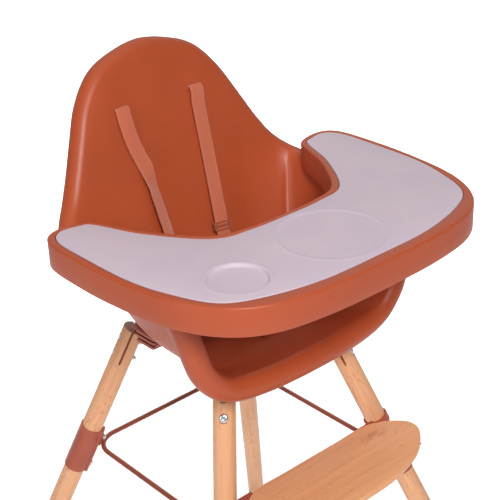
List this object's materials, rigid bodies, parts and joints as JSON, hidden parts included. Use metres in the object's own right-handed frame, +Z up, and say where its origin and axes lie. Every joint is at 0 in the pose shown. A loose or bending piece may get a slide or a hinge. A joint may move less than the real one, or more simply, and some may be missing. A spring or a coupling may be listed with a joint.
{
  "type": "high chair",
  "caption": "Baby high chair: moulded bucket seat on splayed wooden legs, with a slide-on tray, silicone tray mat, footrest, rod brace and harness.",
  "frame": {"origin": "centre of the footprint of the four legs, on the floor", "axes": "+Z up, -Y the way the seated child faces, +X to the child's left"},
  "size_m": [0.58, 0.58, 0.9431],
  "materials": {
    "rust_plastic": "satin moulded plastic, rust red",
    "rust_steel": "satin powder coat, rust red",
    "beech": "clear matt lacquered beech",
    "zinc": "zinc plated",
    "silicone": "matt silicone, lilac grey",
    "webbing": "woven polyester webbing",
    "buckle_plastic": "dark rust moulded plastic",
    "glide_plastic": "grey moulded plastic"
  },
  "bodies": {
    "chair": {"seat_shell": "rust_plastic", "seat_mount_plate": "rust_steel", "upper_leg_front_left": "beech", "lower_leg_front_left": "beech", "foot_glide_front_left": "glide_plastic", "leg_sleeve_front_left": "rust_steel", "leg_bracket_front_left": "rust_steel", "leg_bolt_front_left_upper": "zinc", "leg_bolt_front_left_lower": "zinc", "seat_screw_front_left": "zinc", "upper_leg_front_right": "beech", "lower_leg_front_right": "beech", "foot_glide_front_right": "glide_plastic", "leg_sleeve_front_right": "rust_steel", "leg_bracket_front_right": "rust_steel", "leg_bolt_front_right_upper": "zinc", "leg_bolt_front_right_lower": "zinc", "seat_screw_front_right": "zinc", "upper_leg_rear_left": "beech", "lower_leg_rear_left": "beech", "foot_glide_rear_left": "glide_plastic", "leg_sleeve_rear_left": "rust_steel", "leg_bracket_rear_left": "rust_steel", "leg_bolt_rear_left_upper": "zinc", "leg_bolt_rear_left_lower": "zinc", "seat_screw_rear_left": "zinc", "upper_leg_rear_right": "beech", "lower_leg_rear_right": "beech", "foot_glide_rear_right": "glide_plastic", "leg_sleeve_rear_right": "rust_steel", "leg_bracket_rear_right": "rust_steel", "leg_bolt_rear_right_upper": "zinc", "leg_bolt_rear_right_lower": "zinc", "seat_screw_rear_right": "zinc", "ring_brace": "rust_steel", "footrest_board": "beech", "footrest_bracket_left": "rust_steel", "footrest_bracket_right": "rust_steel", "shoulder_strap_left": "webbing", "shoulder_retainer_left": "buckle_plastic", "waist_strap_left": "webbing", "buckle_tongue_left": "buckle_plastic", "shoulder_strap_right": "webbing", "shoulder_retainer_right": "buckle_plastic", "waist_strap_right": "webbing", "buckle_tongue_right": "buckle_plastic", "crotch_strap": "webbing", "crotch_retainer": "buckle_plastic", "buckle_body": "buckle_plastic"},
    "tray": {"tray_shell": "rust_plastic", "tray_rail_left": "rust_plastic", "tray_rail_right": "rust_plastic", "latch_guide_left": "rust_plastic", "latch_guide_right": "rust_plastic"},
    "mat": {"tray_mat": "silicone"},
    "latch_left": {"tray_latch_left": "buckle_plastic"},
    "latch_right": {"tray_latch_right": "buckle_plastic"},
    "button": {"buckle_button": "rust_plastic"},
    "adjuster_left": {"strap_adjuster_left": "buckle_plastic"},
    "adjuster_right": {"strap_adjuster_right": "buckle_plastic"}
  },
  "joints": [
    {"name": "tray_slide", "type": "slide", "parent": "chair", "child": "tray", "axis": [0, -1, 0], "range_m": [0, 0.18]},
    {"name": "mat_lift", "type": "slide", "parent": "tray", "child": "mat", "axis": [0, 0, 1], "range_m": [0, 0.1]},
    {"name": "latch_left_squeeze", "type": "slide", "parent": "tray", "child": "latch_left", "axis": [1, 0, 0], "range_m": [0, 0.004], "stiffness_N_per_m": 500, "springref_m": -0.003},
    {"name": "latch_right_squeeze", "type": "slide", "parent": "tray", "child": "latch_right", "axis": [-1, 0, 0], "range_m": [0, 0.004], "stiffness_N_per_m": 500, "springref_m": -0.003},
    {"name": "button_press", "type": "slide", "parent": "chair", "child": "button", "axis": [0, 0.8829, -0.4695], "range_m": [0, 0.002], "stiffness_N_per_m": 400, "springref_m": -0.003},
    {"name": "adjuster_left_slide", "type": "slide", "parent": "chair", "child": "adjuster_left", "axis": [0.0859, 0.3286, 0.9405], "range_m": [0, 0.05]},
    {"name": "adjuster_right_slide", "type": "slide", "parent": "chair", "child": "adjuster_right", "axis": [-0.0601, 0.335, 0.9403], "range_m": [0, 0.05]}
  ]
}
